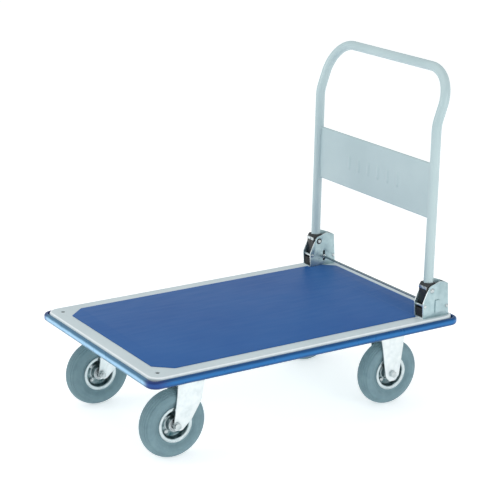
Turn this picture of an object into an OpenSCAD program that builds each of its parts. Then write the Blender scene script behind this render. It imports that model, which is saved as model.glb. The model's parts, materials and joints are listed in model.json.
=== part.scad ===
// Folding platform cart: a pressed steel deck on four 7 inch wheels, with a tube handle that folds
// forward over the deck once the lock bar behind it is trodden down.
// Front is -Y, the handle stands at +Y, left is -X and right is +X. Z = 0 is the floor.

/* [Platform] */
// Deck length between its bent edges
deck_len = 900; // [760:10:1200]
// Deck width between its bent edges
deck_w = 594; // [500:2:760]
// Deck sheet thickness
deck_t = 2; // [1.6:0.2:3]
// Depth of the turned-down edge
skirt_h = 22; // [18:1:40]
// Corner radius of the deck, seen from above
corner_r = 32; // [20:1:40]
// Outer radius of the bent edge
bend_r = 5; // [4:0.5:8]
// Height of the cross channels under the deck
rib_h = 33.5; // [26:0.5:60]
// Width of the cross channels
channel_w = 110; // [104:1:140]
// Distance of the channels' ends from the deck's sides
channel_end = 40; // [36:1:50]
// Wall of the cross channels and ribs
channel_t = 2; // [1.6:0.2:3]
// Radius of the accessory holes in the front corners
corner_hole_r = 5.5; // [3:0.5:6]
// Distance of the accessory holes from the deck's sides
corner_hole_side = 37; // [28:1:45]
// Distance of the accessory holes from the deck's front
corner_hole_front = 33; // [26:1:36]

/* [Mat] */
// Mat thickness
mat_t = 2; // [1:0.5:4]
// Bare border beside the mat
mat_side = 40.5; // [36:0.5:60]
// Bare border in front of the mat
mat_front = 39; // [36:1:60]
// Bare border behind the mat
mat_rear = 27; // [20:1:60]
// Corner cut of the mat, across the deck
mat_cut_x = 40; // [20:1:60]
// Corner cut of the mat, along the deck
mat_cut_y = 44; // [20:1:60]

/* [Bumper] */
// How far the bumper stands out
bump_out = 10; // [8:0.5:20]
// Inner corner radius of the bumper, tighter than the deck's
bump_corner = 18; // [12:1:20]
// Distance of its top below the deck's top
bump_top = 5.5; // [5:0.5:10]
// Thickness of the lip under the deck's edge
lip_t = 3; // [2:0.5:5]
// How far the lip reaches inwards
lip_in = 7; // [4:0.5:12]
// Rounding of its outer corners
bump_r = 6.5; // [4:0.5:7.5]

/* [Wheels] */
// Tyre diameter
tyre_d = 178; // [150:1:214]
// Tyre width
tyre_w = 44; // [38:1:52]
// Number of grooves round the tread
rib_count = 8; // [2:2:8]
// Angle from groove to groove, round the tyre's section
rib_pitch = 16; // [10:1:16]
// Width of a groove
groove_w = 1.6; // [1:0.2:3]
// Depth of a groove
groove_depth = 1; // [0.6:0.2:2.4]
// Diameter of the rim's flange
rim_d = 92; // [84:1:104]
// Rim sheet thickness
rim_t = 2; // [1.5:0.5:3]
// Radius of the bolt circle that holds the rim halves
rim_bolt_pcr = 27; // [25:0.5:30]
// Radius of the axle bolt
axle_r = 5; // [4:0.5:7]
// Outer radius of the axle sleeve
sleeve_r = 8; // [7.5:0.5:10]
// Outer radius of the wheel bearings
bearing_r = 16; // [14:0.5:18]
// Width of a wheel bearing
bearing_w = 10; // [8:1:12]

/* [Casters] */
// Distance of the front wheels from the centre line
front_x = 204; // [170:1:230]
// Distance of the rear wheels from the centre line
rear_x = 192; // [160:1:230]
// Distance of the kingpins behind the deck's front
kingpin_y = 142; // [120:1:200]
// Trail of the front wheels
trail = 42; // [30:1:55]
// Distance of the rear axles in front of the deck's back
rear_y = 143; // [120:1:200]
// Gap between a tyre and the fork's crown
crown_gap = 12; // [8:1:20]
// Fork sheet thickness
fork_t = 3.5; // [2.5:0.5:5]
// Side clearance between a tyre and a fork leg
side_gap = 2.5; // [2:0.5:6]
// Height of the swivel bearing
swivel_h = 18; // [16:0.5:24]
// Top plate thickness
plate_t = 4; // [3:0.5:6]
// Top plate length across the cart
plate_x = 104; // [100:1:130]
// Top plate width along the cart
plate_y = 100; // [96:1:104]
// Kingpin radius
kingpin_r = 7; // [6:0.5:9]
// Ball radius of the swivel bearing
ball_r = 3.5; // [3:0.5:4]

/* [Handle] */
// Distance of the handle tubes from the centre line
handle_x = 263.5; // [200:0.5:280]
// Tube diameter
tube_d = 25.4; // [22:0.1:28]
// Tube wall
tube_t = 1.8; // [1.2:0.1:3]
// Height of the handle's top bar above the deck
handle_h = 640; // [560:5:760]
// Backward lean of the upright handle, in degrees
lean = 1.45; // [0:0.05:4]
// Height above the deck where the tubes bend backwards
crank_z = 491; // [440:1:520]
// Angle of that bend, in degrees
crank_a = 18.5; // [5:0.5:25]
// Radius of that bend
crank_r = 100; // [80:1:140]
// Radius of the handle's two corners
hoop_r = 90; // [60:1:92]
// Panel bottom above the deck
panel_z = 259.5; // [200:0.5:280]
// Panel height
panel_h = 145; // [100:1:160]
// Panel sheet thickness
panel_t = 1.6; // [1:0.2:3]
// Depth of the panel's folded edges
panel_fold = 9; // [6:1:12]

/* [Hinge brackets] */
// Distance of the pivots in front of the deck's back
pivot_y = 68.5; // [62:0.5:120]
// Height of the pivots above the deck
pivot_h = 73; // [73:0.5:84]
// Bracket height above the deck
bracket_h = 95.5; // [94:0.5:110]
// Bracket length in front of the pivot
bracket_front = 30; // [28:1:36]
// Bracket length behind the pivot
bracket_back = 60; // [54:1:63]
// Forward lean of the bracket's back wall, in degrees
back_tilt = 3; // [0:0.5:4]
// Bracket sheet thickness
bracket_t = 2.5; // [2:0.5:3.5]
// Clear width between the bracket's plates
bracket_gap = 33; // [33:0.5:40]
// Bracket floor thickness
floor_t = 3; // [2:0.5:4]
// Pivot pin radius
pin_r = 5; // [4:0.5:6]
// Radius of the bush round the pivot pin
bush_r = 8.5; // [7.5:0.5:9.5]
// Radius of the riveted cross pins
tie_r = 3.5; // [2.5:0.5:4]
// Thickness of a knuckle's sides
knuckle_wall = 2.8; // [2:0.1:4]
// Reach of a knuckle's tail below the pivot
tail_r = 45.4; // [43:0.2:45.6]

/* [Lock bar] */
// Lock bar radius
bar_r = 3; // [2.5:0.5:4]
// Height of the lock bar above the deck, at rest
bar_z = 26; // [24:0.5:28]
// Gap between the raised lock bar and the knuckles it holds
bar_gap = 2; // [1.8:0.1:3]
// Travel of the lock bar down, when trodden on
bar_down = 9; // [6:0.5:9]
// Travel of the lock bar up, to full engagement
bar_up = 15; // [6:0.5:15]
// Clearance of the bar in its slots
bar_play = 0.4; // [0.3:0.1:0.8]
// Spring wire radius
wire_r = 0.9; // [0.6:0.1:1.2]

/* [Hidden] */

$fn = 48;
e = 0.01;                     // overlap of cutting shapes
fit = 0.05;                   // radial clearance of a running fit
slip = 0.3;                   // clearance between parts that move past each other

// Heights of the stack, from the floor up
axle_z = tyre_d / 2;
crown_z = tyre_d + crown_gap;
plate_z = crown_z + fork_t + swivel_h;
web_z = plate_z + plate_t;
deck_z = web_z + rib_h;
deck_top = deck_z + deck_t;

// Places along the cart
front_pin_y = -deck_len / 2 + kingpin_y;
front_axle_y = front_pin_y - trail;
rear_axle_y = deck_len / 2 - rear_y;
hinge_y = deck_len / 2 - pivot_y;
hinge_z = deck_top + pivot_h;

channel_half = deck_w / 2 - channel_end;

// Wheel and fork widths
tyre_r = tyre_d / 2;
rim_r = rim_d / 2;
bead_x = tyre_w / 2 - 5;
leg_in = tyre_w / 2 + side_gap;
leg_out = leg_in + fork_t;
well_r = rim_r - 8;

// M8 fasteners
bolt_r = 4;
bolt_hole_r = 4.5;
bolt_head_r = 7.5;
bolt_head_h = 5.5;
nut_h = 6.5;
bolt_dx = 40;                 // caster bolts from the caster's centre, across
bolt_dy = 38;                 // and along the cart
bracket_bolt_front = -10;     // bracket bolts from the pivot
bracket_bolt_back = 36;

// Bracket and knuckle
half_gap = bracket_gap / 2;
half_out = half_gap + bracket_t;
tube_r = tube_d / 2;
knuckle_half = min(tube_r + knuckle_wall, half_gap - 1);
knuckle_front = 17.2;
knuckle_back = 12;
knuckle_top = 20;
foot_z = -22;                 // tube foot below the pivot
strap_z = 8;                  // strap and its rivet above the pivot
strap_t = 1.5;
rivet_r = 2.5;
tie_drop = 40.5;              // stop pin below the pivot, in the leaning handle's frame
bar_y = knuckle_back + bar_gap + bar_r;
bracket_end = min(bracket_back, pivot_y - bend_r);
plan_r = 10;                  // bend between a bracket's sides and its back wall
spring_pin_z = bar_z - 1.5;
spring_pin_y = bracket_end - bracket_t - spring_pin_z * tan(back_tilt) - 7;
slot_low = bar_z - bar_down - bar_r - bar_play;
slot_high = bar_z + bar_up + bar_r + bar_play;
blister_d = 3.6;              // depth of the pressed pocket that takes the bar's end

// Swivel bearing
race_in = 20;
race_out = 30;
ball_ring = 25;
race_gap = 2 * ball_r - 1;    // between the two races
race_mid = crown_z + fork_t + swivel_h / 2;

// Lock spring
coil_r = tie_r + wire_r + 0.5;
coil_turns = 4;
coil_pitch = 2 * wire_r + 0.4;
leg_z = bar_z - bar_r - wire_r - 0.2 - spring_pin_z;

// Handle
bend_up = crank_z - pivot_h;
top_run = (handle_h - crank_z - crank_r * (sin(lean + crank_a) - sin(lean))) / cos(lean + crank_a);

// ---- helpers ----

// A polygon's corners, each rounded by its own radius: points are [x, y, radius].
function unit(v) = v / norm(v);
function round_corner(a, b, c, r) =
    let (u = unit(a - b), v = unit(c - b), h = acos(u * v) / 2, d = r / tan(h),
         m = b + unit(u + v) * r / sin(h), p = b + u * d - m, q = b + v * d - m,
         t0 = atan2(p[1], p[0]), t1 = atan2(q[1], q[0]),
         turn = t1 - t0 > 180 ? t1 - t0 - 360 : t1 - t0 < -180 ? t1 - t0 + 360 : t1 - t0)
    r == 0 ? [b] : [for (i = [0:6]) m + r * [cos(t0 + turn * i / 6), sin(t0 + turn * i / 6)]];
function rounded(p) =
    let (n = len(p), xy = [for (q = p) [q[0], q[1]]])
    [for (i = [0:n - 1]) each round_corner(xy[(i + n - 1) % n], xy[i], xy[(i + 1) % n], p[i][2])];

// Runs a drawing along X: its x becomes Y and its y becomes Z.
module along_x(from, to) {
    translate([from, 0, 0]) rotate([90, 0, 90]) linear_extrude(to - from) children();
}

module rod_x(r, from, to) {
    translate([from, 0, 0]) rotate([0, 90, 0]) cylinder(r = r, h = to - from);
}

// Stands a turned shape's axis along X.
module turned_x() {
    rotate([0, 90, 0]) rotate_extrude() children();
}

// Carries a section round a rectangle with round corners. The section's x runs outwards from the
// corner's centre and its y is height.
module carry_round(corner) {
    half_w = deck_w / 2 - corner;
    half_l = deck_len / 2 - corner;
    for (a = [0, 180]) {
        rotate(a) translate([half_w, 0, 0]) rotate([90, 0, 0])
            linear_extrude(2 * half_l, center = true) children();
        rotate(a) translate([0, half_l, 0]) rotate([90, 0, 90])
            linear_extrude(2 * half_w, center = true) children();
        rotate(a) translate([half_w, half_l, 0]) rotate_extrude(angle = 90) children();
        rotate(a) translate([-half_w, half_l, 0]) rotate(90) rotate_extrude(angle = 90) children();
    }
}

module rounded_bar(w, h, r) {
    for (s = [-1, 1]) for (t = [-1, 1]) translate([s * (w / 2 - r), t * (h / 2 - r)]) circle(r, $fn = 32);
    square([w - 2 * r, h], center = true);
    square([w, h - 2 * r], center = true);
}

module at_hinge(side) {
    translate([side * handle_x, hinge_y, deck_top]) mirror([side < 0 ? 1 : 0, 0, 0]) children();
}

// The leaning handle's own frame: origin on the pivot axis, Z up the tubes.
module handle_frame() {
    translate([0, hinge_y, hinge_z]) rotate([-lean, 0, 0]) children();
}

module at_each(points) {
    for (p = points) translate(p) children();
}

module at_casters() {
    for (s = [-1, 1]) {
        translate([s * front_x, front_pin_y, 0]) children();
        translate([s * rear_x, rear_axle_y, 0]) children();
    }
}

module at_caster_bolts() {
    at_casters() for (s = [-1, 1]) for (t = [-1, 1]) translate([s * bolt_dx, t * bolt_dy, 0]) children();
}

module at_bracket_bolts() {
    for (s = [-1, 1]) at_hinge(s) for (y = [bracket_bolt_front, bracket_bolt_back])
        translate([0, y, 0]) children();
}

// ---- platform ----

module deck_panel() {
    color("gainsboro") difference() {
        union() {
            translate([0, 0, deck_top]) carry_round(corner_r) {
                translate([0, -deck_t]) square([corner_r - bend_r, deck_t]);
                translate([corner_r - deck_t, -skirt_h]) square([deck_t, skirt_h - bend_r]);
                translate([corner_r - bend_r, -bend_r]) intersection() {
                    difference() {
                        circle(bend_r);
                        circle(bend_r - deck_t);
                    }
                    square(bend_r + 1);
                }
            }
            translate([0, 0, deck_z + deck_t / 2])
                cube([deck_w - 2 * corner_r, deck_len - 2 * corner_r, deck_t], center = true);
        }
        for (s = [-1, 1])
            translate([s * (deck_w / 2 - corner_hole_side), corner_hole_front - deck_len / 2, deck_z - e])
                cylinder(r = corner_hole_r, h = deck_t + 2 * e);
        at_bracket_bolts() translate([0, 0, -deck_t - e]) cylinder(r = bolt_hole_r, h = deck_t + 2 * e);
    }
}

module deck_mat() {
    x = deck_w / 2 - mat_side;
    front = mat_front - deck_len / 2;
    back = deck_len / 2 - mat_rear;
    color("steelblue") translate([0, 0, deck_top]) difference() {
        linear_extrude(mat_t) polygon([
            [-x + mat_cut_x, front], [x - mat_cut_x, front], [x, front + mat_cut_y], [x, back - mat_cut_y],
            [x - mat_cut_x, back], [-x + mat_cut_x, back], [-x, back - mat_cut_y], [-x, front + mat_cut_y]
        ]);
        for (s = [-1, 1]) translate([s * handle_x, hinge_y, 0])
            translate([-half_out - 0.5, -bracket_front - 0.5, -e])
                cube([2 * half_out + 1, bracket_front + bracket_end + 1, mat_t + 2 * e]);
    }
}

module bumper() {
    high = skirt_h + lip_t - bump_top;
    color("dodgerblue") translate([0, 0, deck_top])
    carry_round(bump_corner) translate([bump_corner, -skirt_h - lip_t]) {
        square([bump_out - bump_r, high]);
        translate([0, bump_r]) square([bump_out, high - 2 * bump_r]);
        intersection() {
            for (y = [bump_r, high - bump_r]) translate([bump_out - bump_r, y]) circle(bump_r, $fn = 32);
            square([bump_out, high]);
        }
        translate([-lip_in, 0]) square([lip_in + 1, lip_t]);
    }
}

// A channel open upwards, welded under the deck. Its drawing is across its length.
module channel_section(w, h) {
    for (s = [-1, 1]) translate([s * (w - channel_t) / 2 - channel_t / 2, 0]) square([channel_t, h]);
    translate([-w / 2, 0]) square([w, channel_t]);
}

module cross_channel(y) {
    color("lightgray") difference() {
        translate([0, y, web_z]) along_x(-channel_half, channel_half) channel_section(channel_w, rib_h);
        at_caster_bolts() translate([0, 0, web_z - e]) cylinder(r = bolt_hole_r, h = channel_t + 2 * e);
        for (s = [-1, 1]) translate([s * front_x, front_pin_y, web_z - e])
            cylinder(r = 2 * kingpin_r, h = channel_t + 2 * e);
    }
}

module long_ribs() {
    from = front_pin_y + channel_w / 2;
    to = rear_axle_y - channel_w / 2;
    color("lightgray") for (x = [-deck_w / 4, 0, deck_w / 4])
        translate([x, to, web_z]) rotate([90, 0, 0]) linear_extrude(to - from) channel_section(40, rib_h);
}

// ---- hinge brackets ----

function bracket_outline() =
    let (shoulder = bracket_h - 11)
    rounded([
        [-bracket_front + 2, 0, 0], [-bracket_front, 0.42 * bracket_h, 20],
        [-0.3 * bracket_front, bracket_h - 10, 12], [0.47 * bracket_end, bracket_h, 14],
        [bracket_end + 1 - shoulder * tan(back_tilt), shoulder, 4], [bracket_end + 1, 0, 0]
    ]);

// A filled plan with two round corners at its back. Its front end lies at -front.
module round_back(half, front, back, r) {
    translate([-half, -front]) square([2 * half, front + back - r]);
    for (s = [-1, 1]) translate([s * (half - r), back - r]) circle(r);
    translate([r - half, back - r - 1]) square([2 * half - 2 * r, r + 1]);
}

// Runs a bracket's plan upwards, leaning forward like its back wall.
module leaning_wall() {
    rotate([back_tilt, 0, 0]) translate([0, 0, -10]) linear_extrude(bracket_h + 30) children();
}

module bracket() {
    back = bracket_end * cos(back_tilt);
    color("lightsteelblue") difference() {
        union() {
            difference() {
                intersection() {
                    leaning_wall() round_back(half_out, bracket_front + 5, back, plan_r);
                    along_x(-half_out - 1, half_out + 1) polygon(bracket_outline());
                }
                intersection() {
                    leaning_wall()
                        round_back(half_gap, bracket_front + 10, back - bracket_t, plan_r - bracket_t);
                    translate([-half_out, -bracket_front - 12, floor_t])
                        cube([2 * half_out, bracket_front + bracket_end + 20, bracket_h]);
                }
            }
            translate([0, bar_y, (slot_low + slot_high) / 2]) along_x(half_out - e, half_out + blister_d)
                rounded_bar(2 * bar_r + 10, slot_high - slot_low + 4, 3);
        }
        // pivot: the pin's own hole outside, the bush's larger hole inside
        translate([0, 0, pivot_h]) rod_x(pin_r, half_gap - e, half_out + e);
        translate([0, 0, pivot_h]) rod_x(bush_r, -half_out - e, -half_gap + e);
        // slots for the lock bar, closed outside by the pocket's wall
        translate([0, bar_y, (slot_low + slot_high) / 2]) {
            along_x(-half_out - e, half_out + blister_d - 1.6)
                rounded_bar(2 * (bar_r + bar_play), slot_high - slot_low, bar_r);
        }
        at_ties() rod_x(tie_r, -half_out - 1, half_out + 1);
        for (y = [bracket_bolt_front, bracket_bolt_back])
            translate([0, y, -e]) cylinder(r = bolt_hole_r, h = floor_t + 2 * e);
    }
}

// The two riveted cross pins of a bracket: the stop in front, the spring's pin behind.
module at_stop() {
    translate([0, 0, pivot_h]) rotate([-lean, 0, 0])
        translate([0, -knuckle_front - slip - tie_r, -tie_drop]) children();
}

module at_ties() {
    at_stop() children();
    translate([0, spring_pin_y, spring_pin_z]) children();
}

module cross_pins() {
    color("silver") for (s = [-1, 1]) at_hinge(s) at_ties() {
        rod_x(tie_r, -half_out - 0.5, half_out + 0.5);
        for (m = [0, 1]) mirror([m, 0, 0]) translate([half_out, 0, 0]) rotate([0, 90, 0])
            cylinder(r1 = tie_r + 1.5, r2 = tie_r, h = 1.6);
    }
}

// Rubber block on the bracket's floor, under the knuckle's tail, hollow over the bolt's head
module stop_blocks() {
    top = pivot_h - tail_r - 1.6;
    color("dimgray") for (s = [-1, 1]) at_hinge(s) difference() {
        translate([-half_gap + 0.5, -bracket_front + 4, floor_t])
            cube([bracket_gap - 1, bracket_front + 3, top - floor_t]);
        translate([0, bracket_bolt_front, floor_t - e]) cylinder(r = bolt_head_r + 1.5, h = bolt_head_h + 1);
        at_stop() rod_x(tie_r + 0.2, -half_out, half_out);
    }
}

module pivot_pins() {
    color("silver") for (s = [-1, 1]) at_hinge(s) translate([0, 0, pivot_h]) {
        rod_x(pin_r, -half_out - 2, half_out + 0.5);
        translate([half_out, 0, 0]) rotate([0, 90, 0]) cylinder(r1 = pin_r + 2, r2 = pin_r - 1, h = 2.4);
    }
}

module pivot_bushes() {
    color("black") for (s = [-1, 1]) at_hinge(s) translate([0, 0, pivot_h]) difference() {
        rod_x(bush_r, -half_out, -half_gap);
        rod_x(pin_r, -half_out - 1, -half_gap + 1);
    }
}

// ---- fasteners of the platform ----

module hex_bolt(shank) {
    cylinder(r = bolt_head_r, h = bolt_head_h, $fn = 6);
    translate([0, 0, bolt_head_h - e]) cylinder(r = bolt_r, h = shank + e);
}

module platform_bolts() {
    color("silver") {
        at_caster_bolts() translate([0, 0, plate_z - bolt_head_h]) hex_bolt(plate_t + channel_t + nut_h + 3);
        at_bracket_bolts() translate([0, 0, floor_t + bolt_head_h]) mirror([0, 0, 1])
            hex_bolt(floor_t + deck_t + nut_h + 3);
    }
}

module hex_nut() {
    difference() {
        cylinder(r = bolt_head_r, h = nut_h, $fn = 6);
        translate([0, 0, -e]) cylinder(r = bolt_r, h = nut_h + 2 * e);
    }
}

module platform_nuts() {
    color("silver") {
        at_caster_bolts() translate([0, 0, web_z + channel_t]) hex_nut();
        at_bracket_bolts() translate([0, 0, -deck_t - nut_h]) hex_nut();
    }
}

// ---- lock bar ----

module lock_bar() {
    reach = handle_x + half_out + blister_d - 2.2;
    color("dimgray") translate([0, hinge_y + bar_y, deck_top + bar_z]) rod_x(bar_r, -reach, reach);
}

module lock_bar_clips() {
    color("silver") translate([0, hinge_y + bar_y, deck_top + bar_z]) for (s = [-1, 1])
        translate([s * (handle_x - half_out - 1.2), 0, 0]) difference() {
            rod_x(bar_r + 3, -0.6, 0.6);
            rod_x(bar_r, -1, 1);
            translate([-1, -bar_r / 2, -bar_r - 4]) cube([2, bar_r, 5]);
        }
}

// Torsion spring: coils round the rear cross pin, one leg under the bar, one up the back wall.
function coil_point(a) = [coil_pitch * a / 360, coil_r * sin(a), -coil_r * cos(a)];
function spring_route() = concat(
    [[0, bar_y - 6 - spring_pin_y, leg_z], [0, bar_y + 6 - spring_pin_y, leg_z]],
    [for (a = [0:24:360 * coil_turns + 90]) coil_point(a)],
    [for (z = [12, 30]) coil_point(360 * coil_turns + 90) + [0, -z * tan(back_tilt), z]]
);
module wire(points, r, sides) {
    n = len(points);
    function along(i) = unit(points[min(i + 1, n - 1)] - points[max(i - 1, 0)]);
    // the cross direction that is nearest to X turns with the route
    function side_of(i) = let (t = along(i), c = [1, 0, 0] - t * (t * [1, 0, 0])) unit(c);
    ring = [for (i = [0:n - 1]) let (t = along(i), u = side_of(i), v = cross(t, u))
        each [for (k = [0:sides - 1]) points[i] + r * (u * cos(360 * k / sides) + v * sin(360 * k / sides))]];
    walls = [for (i = [0:n - 2]) for (k = [0:sides - 1])
        [i * sides + k, i * sides + (k + 1) % sides, (i + 1) * sides + (k + 1) % sides, (i + 1) * sides + k]];
    polyhedron(ring, concat(walls, [[for (k = [sides - 1:-1:0]) k]],
        [[for (k = [0:sides - 1]) (n - 1) * sides + k]]));
}

module lock_springs() {
    color("silver") for (s = [-1, 1]) at_hinge(s)
        translate([-coil_turns * coil_pitch / 2, spring_pin_y, spring_pin_z]) wire(spring_route(), wire_r, 8);
}

// ---- handle ----

module tube_section() {
    difference() {
        circle(tube_r);
        circle(tube_r - tube_t);
    }
}

// One half of the tube: foot, leg, backward bend, corner and half of the top bar, for x > 0.
module half_tube() {
    translate([handle_x, 0, foot_z]) linear_extrude(bend_up - foot_z) tube_section();
    translate([handle_x, crank_r, bend_up]) rotate([0, -90, 0]) rotate([0, 0, -90])
        rotate_extrude(angle = crank_a, $fn = 96) translate([crank_r, 0]) tube_section();
    translate([0, crank_r, bend_up]) rotate([-crank_a, 0, 0]) translate([0, -crank_r, 0]) {
        translate([handle_x, 0, 0]) linear_extrude(top_run - hoop_r) tube_section();
        translate([handle_x - hoop_r, 0, top_run - hoop_r]) rotate([90, 0, 0])
            rotate_extrude(angle = 90) translate([hoop_r, 0]) tube_section();
        translate([0, 0, top_run]) rotate([0, 90, 0]) linear_extrude(handle_x - hoop_r) tube_section();
    }
}

module handle_tube() {
    color("lightblue") handle_frame() difference() {
        for (m = [0, 1]) mirror([m, 0, 0]) half_tube();
        for (s = [-1, 1]) translate([s * handle_x, 0, 0]) {
            rod_x(pin_r + 4 * fit, -tube_r - 1, tube_r + 1);
            translate([0, 0, strap_z]) rotate([90, 0, 0]) cylinder(r = rivet_r, h = tube_r + 1);
        }
    }
}

module handle_panel() {
    half = handle_x - tube_r + 0.5;
    low = panel_z - pivot_h;
    color("lightblue") handle_frame() translate([0, 0, low]) {
        translate([-half, -panel_t, 0]) cube([2 * half, panel_t, panel_h]);
        for (z = [0, panel_h - panel_t]) translate([-half + 4, -e, z])
            cube([2 * half - 8, panel_fold, panel_t]);
        for (z = [0, panel_h - 8]) translate([-half + 4, panel_fold - panel_t, z])
            cube([2 * half - 8, panel_t, 8]);
    }
}

// Shoe that closes round a tube's foot. Its tail ends in an arc about the pivot.
module knuckle() {
    difference() {
        along_x(-knuckle_half, knuckle_half) intersection() {
            circle(tail_r, $fn = 96);
            polygon([
                [-knuckle_front, -60], [knuckle_back, -60], [knuckle_back, -28], [knuckle_half, -24],
                [knuckle_half, knuckle_top - 3], [knuckle_half - 3, knuckle_top], [-12, knuckle_top],
                [-knuckle_front, knuckle_top - 8]
            ]);
        }
        translate([0, 0, foot_z - slip]) cylinder(r = tube_r, h = 60);
        rod_x(pin_r + fit, -knuckle_half - 1, knuckle_half + 1);
        translate([0, 0, strap_z]) rotate([90, 0, 0]) cylinder(r = rivet_r, h = 30);
    }
}

module knuckle_at(side) {
    color("#22282a") handle_frame() translate([side * handle_x, 0, 0]) knuckle();
}

module at_straps() {
    handle_frame() for (s = [-1, 1]) translate([s * handle_x, -knuckle_front - strap_t, strap_z]) children();
}

module knuckle_straps() {
    color("silver") at_straps()
        difference() {
            translate([-knuckle_half, 0, -4]) cube([2 * knuckle_half, strap_t, 8]);
            rotate([-90, 0, 0]) translate([0, 0, -1]) cylinder(r = rivet_r, h = 4);
        }
}

module knuckle_rivets() {
    color("silver") at_straps()
        rotate([-90, 0, 0]) {
            translate([0, 0, -1.6]) cylinder(r1 = rivet_r, r2 = rivet_r + 2, h = 1.6);
            cylinder(r = rivet_r, h = knuckle_front + strap_t - tube_r + tube_t + 1);
        }
}

// ---- swivel casters ----

module ball_groove() {
    translate([0, 0, race_mid]) rotate_extrude() translate([ball_ring, 0]) circle(ball_r + fit, $fn = 24);
}

module bolt_holes() {
    for (s = [-1, 1]) for (t = [-1, 1]) translate([s * bolt_dx, t * bolt_dy, plate_z - e])
        cylinder(r = bolt_hole_r, h = plate_t + 2 * e);
}

module top_plate() {
    translate([0, 0, plate_z]) linear_extrude(plate_t) rounded_bar(plate_x, plate_y, 8);
}

module swivel_plate(side) {
    color("silver") translate([side * front_x, front_pin_y, 0]) difference() {
        union() {
            top_plate();
            translate([0, 0, race_mid + race_gap / 2])
                cylinder(r = race_out, h = plate_z - race_mid - race_gap / 2 + e);
        }
        bolt_holes();
        ball_groove();
        translate([0, 0, race_mid]) cylinder(r = kingpin_r, h = swivel_h);
        translate([0, 0, race_mid - 1]) cylinder(r = race_in, h = plate_z - race_mid - 1);
    }
}

module kingpins() {
    color("silver") for (s = [-1, 1]) translate([s * front_x, front_pin_y, 0]) {
        translate([0, 0, crown_z - 2]) cylinder(r = kingpin_r, h = web_z - crown_z + 3);
        translate([0, 0, crown_z - slip - 5]) cylinder(r = kingpin_r + 5, h = 5);
        translate([0, 0, web_z]) cylinder(r1 = kingpin_r + 4, r2 = kingpin_r, h = 4);
    }
}

module swivel_balls() {
    n = floor(360 / (2 * asin((ball_r + 0.3) / ball_ring)));
    color("silver") for (s = [-1, 1]) translate([s * front_x, front_pin_y, race_mid])
        for (i = [0:n - 1]) rotate(i * 360 / n) translate([ball_ring, 0, 0]) sphere(ball_r, $fn = 24);
}

function swivel_leg() = rounded([
    [-36, crown_z + fork_t, 0], [36, crown_z + fork_t, 0], [28, axle_z + 57, 30],
    [0, axle_z + 12, 30], [-trail + 14, axle_z - 14, 10], [-trail - 10, axle_z - 12, 11]
]);

function rigid_leg() = rounded([
    [-40, plate_z + e, 0], [40, plate_z + e, 0], [34, axle_z + 85, 20], [21, axle_z - 6, 10],
    [9, axle_z - 20, 9], [-9, axle_z - 20, 9], [-21, axle_z - 6, 10], [-34, axle_z + 85, 20]
]);

module both_legs() {
    for (m = [0, 1]) mirror([m, 0, 0]) along_x(leg_in, leg_out) children();
}

module swivel_fork(side) {
    color("whitesmoke") translate([side * front_x, front_pin_y, 0]) difference() {
        union() {
            both_legs() polygon(swivel_leg());
            translate([-leg_out + e, -36, crown_z]) cube([2 * leg_out - 2 * e, 72, fork_t]);
            translate([0, 0, crown_z]) cylinder(r = race_out + 4, h = fork_t);
            translate([0, 0, crown_z]) cylinder(r = race_out, h = race_mid - race_gap / 2 - crown_z);
            translate([0, 0, crown_z]) difference() {
                cylinder(r = race_out + 4, h = plate_z - crown_z - 2);
                translate([0, 0, -1]) cylinder(r = race_out + 1.5, h = 40);
            }
        }
        ball_groove();
        translate([0, 0, crown_z - 1]) cylinder(r = kingpin_r + fit, h = 40);
        translate([0, 0, crown_z + fork_t]) cylinder(r = race_in, h = 40);
        translate([0, -trail, axle_z]) rod_x(axle_r, -leg_out - 1, leg_out + 1);
    }
}

module rigid_fork(side) {
    color("whitesmoke") translate([side * rear_x, rear_axle_y, 0]) difference() {
        union() {
            both_legs() polygon(rigid_leg());
            top_plate();
        }
        bolt_holes();
        translate([0, 0, axle_z]) rod_x(axle_r, -leg_out - 1, leg_out + 1);
    }
}

// ---- wheels, each in its own frame with its axis along X and its outer side at +X ----

module at_wheel(front, side) {
    translate([side * (front ? front_x : rear_x), front ? front_axle_y : rear_axle_y, axle_z])
        mirror([side < 0 ? 1 : 0, 0, 0]) children();
}

module axle() {
    color("silver") {
        rod_x(axle_r, -leg_out - 12, leg_out + 1);
        translate([leg_out, 0, 0]) rotate([0, 90, 0]) cylinder(r = axle_r + 4.5, h = 7, $fn = 6);
    }
}

module axle_nut() {
    color("silver") difference() {
        translate([-leg_out - 9, 0, 0]) rotate([0, 90, 0]) cylinder(r = axle_r + 4.5, h = 9, $fn = 6);
        rod_x(axle_r, -leg_out - 10, -leg_out + 1);
    }
}

module sleeve() {
    color("gray") difference() {
        rod_x(sleeve_r, -leg_in + 0.1, leg_in - 0.1);
        rod_x(axle_r + 0.1, -leg_in - 1, leg_in + 1);
    }
}

module bearings() {
    outer = tyre_w / 2 - 4;
    color("dimgray") for (m = [0, 1]) mirror([m, 0, 0]) difference() {
        rod_x(bearing_r, outer - bearing_w, outer);
        rod_x(sleeve_r + fit, outer - bearing_w - 1, outer + 1);
    }
}

module rim_half(bolt_sign) {
    cup = tyre_w / 2 - 4;
    color("lightgray") difference() {
        mirror([bolt_sign, 0, 0]) turned_x() {
            translate([bearing_r, 0]) square([rim_t, cup]);
            translate([bearing_r, 0]) square([well_r - bearing_r, rim_t]);
            translate([well_r - rim_t, 0]) square([rim_t, bead_x + e]);
            translate([well_r - rim_t, bead_x]) square([rim_r - well_r + rim_t, rim_t]);
            translate([rim_r - rim_t / 2, bead_x + rim_t - e]) circle(rim_t / 2, $fn = 24);
        }
        for (i = [0:3]) rotate([45 + 90 * i, 0, 0]) translate([0, rim_bolt_pcr, 0])
            rod_x(3, -rim_t - 1, rim_t + 1);
    }
}

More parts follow.
